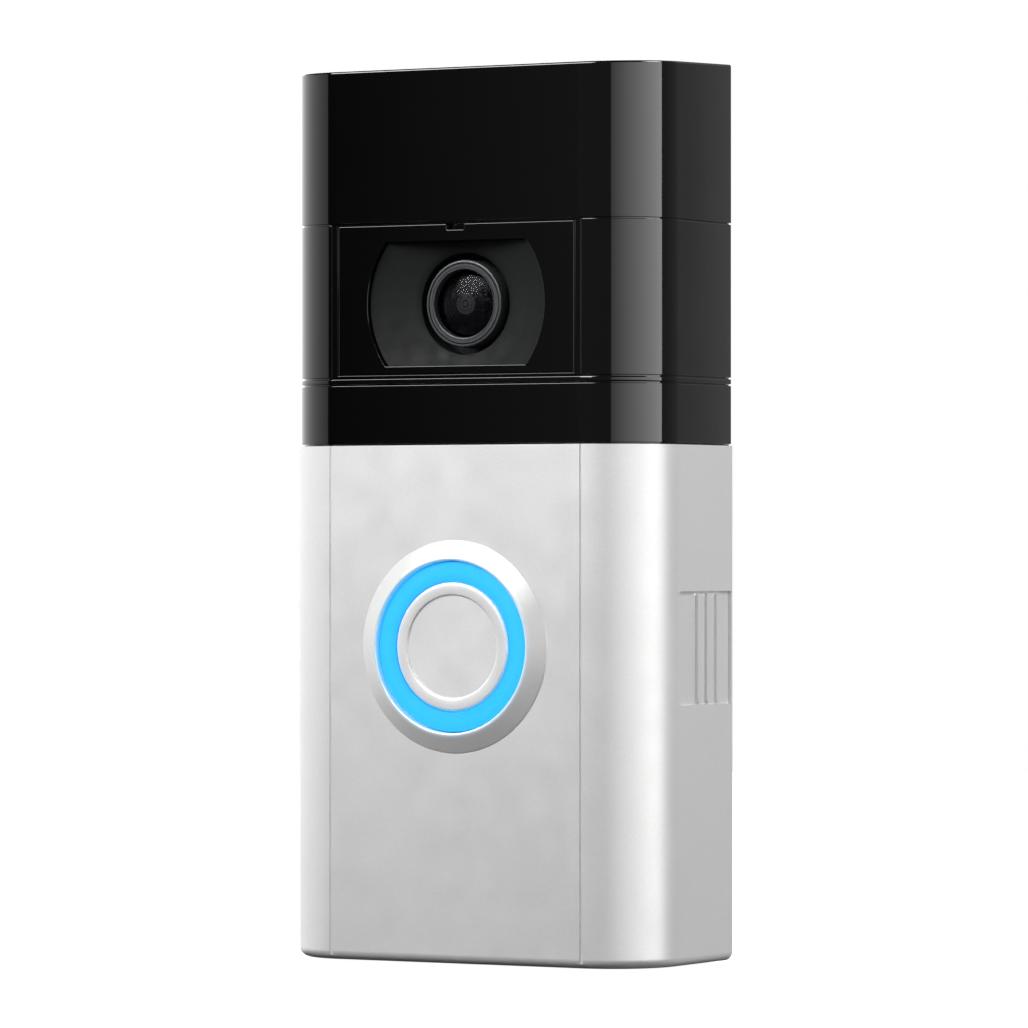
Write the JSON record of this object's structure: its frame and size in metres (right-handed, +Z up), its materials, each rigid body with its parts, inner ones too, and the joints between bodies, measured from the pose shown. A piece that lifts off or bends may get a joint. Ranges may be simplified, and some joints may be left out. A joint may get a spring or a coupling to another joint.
{
  "type": "video doorbell",
  "caption": "Upright wall-mounted battery doorbell with a wide-angle camera window, black upper shells, a satin faceplate and a round button in a glowing blue ring.",
  "frame": {"origin": "on the wall plane, at the middle of the width and of the front's height", "axes": "+Z up, +Y into the wall, so the front faces -Y; +X to the right of someone facing the doorbell"},
  "size_m": [0.0624, 0.0287, 0.1309],
  "materials": {
    "gloss_black": "high-gloss black moulding",
    "window_black": "high-gloss infra-red-clear black window",
    "matte_black": "fine matte black moulding",
    "housing_black": "spark-textured black moulding",
    "lens_metal": "dark anodised, fine turned grooves",
    "lens_glass": "coated optical glass",
    "chip_black": "moulded epoxy",
    "circuit_green": "solder mask over copper tracks",
    "screw_steel": "plated steel",
    "led_violet": "tinted clear epoxy",
    "tin_plate": "tin-plated sheet",
    "frosted_lens": "frosted segmented sheet",
    "copper_gold": "gold-flashed copper",
    "soft_rubber": "soft silicone",
    "battery_grey": "fine-textured grey moulding",
    "light_blue": "translucent diffuser, lit blue",
    "satin_nickel": "satin nickel metallic paint, fine flake",
    "setup_orange": "satin orange moulding"
  },
  "bodies": {
    "housing": {"battery_contacts": "copper_gold", "battery_pack": "battery_grey", "button_carrier": "matte_black", "button_chassis": "matte_black", "button_gasket": "soft_rubber", "button_switch": "chip_black", "camera_board": "circuit_green", "camera_cover": "gloss_black", "camera_frame": "gloss_black", "camera_screw_left": "screw_steel", "camera_screw_right": "screw_steel", "camera_window": "window_black", "chassis_screw_1": "screw_steel", "chassis_screw_2": "screw_steel", "chassis_screw_3": "screw_steel", "chassis_screw_4": "screw_steel", "frame_screw_left": "screw_steel", "frame_screw_right": "screw_steel", "front_lens": "lens_glass", "image_sensor": "chip_black", "infrared_light_1": "led_violet", "infrared_light_2": "led_violet", "infrared_light_3": "led_violet", "infrared_light_4": "led_violet", "lens_barrel": "lens_metal", "lens_holder": "matte_black", "lens_iris": "lens_metal", "lens_retainer": "lens_metal", "lens_shroud": "matte_black", "light_ring": "light_blue", "main_board": "circuit_green", "microphone": "tin_plate", "motion_board": "circuit_green", "motion_lens": "frosted_lens", "motion_sensor_left": "tin_plate", "motion_sensor_right": "tin_plate", "processor_shield": "tin_plate", "radio_shield": "tin_plate", "rear_housing": "housing_black", "rear_lens": "lens_glass", "ring_light_board": "circuit_green", "sensor_cover": "gloss_black", "sensor_frame": "matte_black", "speaker": "matte_black", "speaker_cone": "soft_rubber", "terminal_block": "chip_black", "terminal_screw_left": "screw_steel", "terminal_screw_right": "screw_steel", "trim_band": "gloss_black", "upper_cover": "gloss_black", "wifi_antenna": "copper_gold"},
    "faceplate": {"faceplate": "satin_nickel", "security_screw": "screw_steel", "security_nut": "screw_steel"},
    "button": {"button_cap": "satin_nickel", "switch_plunger": "soft_rubber"},
    "setup_button": {"setup_button": "setup_orange"},
    "battery_latch": {"battery_latch": "matte_black"}
  },
  "joints": [
    {"name": "faceplate_removal", "type": "slide", "parent": "housing", "child": "faceplate", "axis": [0, -1, 0], "range_m": [0, 0.032]},
    {"name": "button_press", "type": "slide", "parent": "housing", "child": "button", "axis": [0, 1, 0], "range_m": [0, 0.0005], "stiffness_N_per_m": 2000, "springref_m": -0.0002},
    {"name": "setup_press", "type": "slide", "parent": "housing", "child": "setup_button", "axis": [0, 1, 0], "range_m": [0, 0.0004], "stiffness_N_per_m": 2000, "springref_m": -0.0001},
    {"name": "latch_press", "type": "slide", "parent": "housing", "child": "battery_latch", "axis": [0, 1, 0], "range_m": [0, 0.0012], "stiffness_N_per_m": 800, "springref_m": -0.0003}
  ]
}
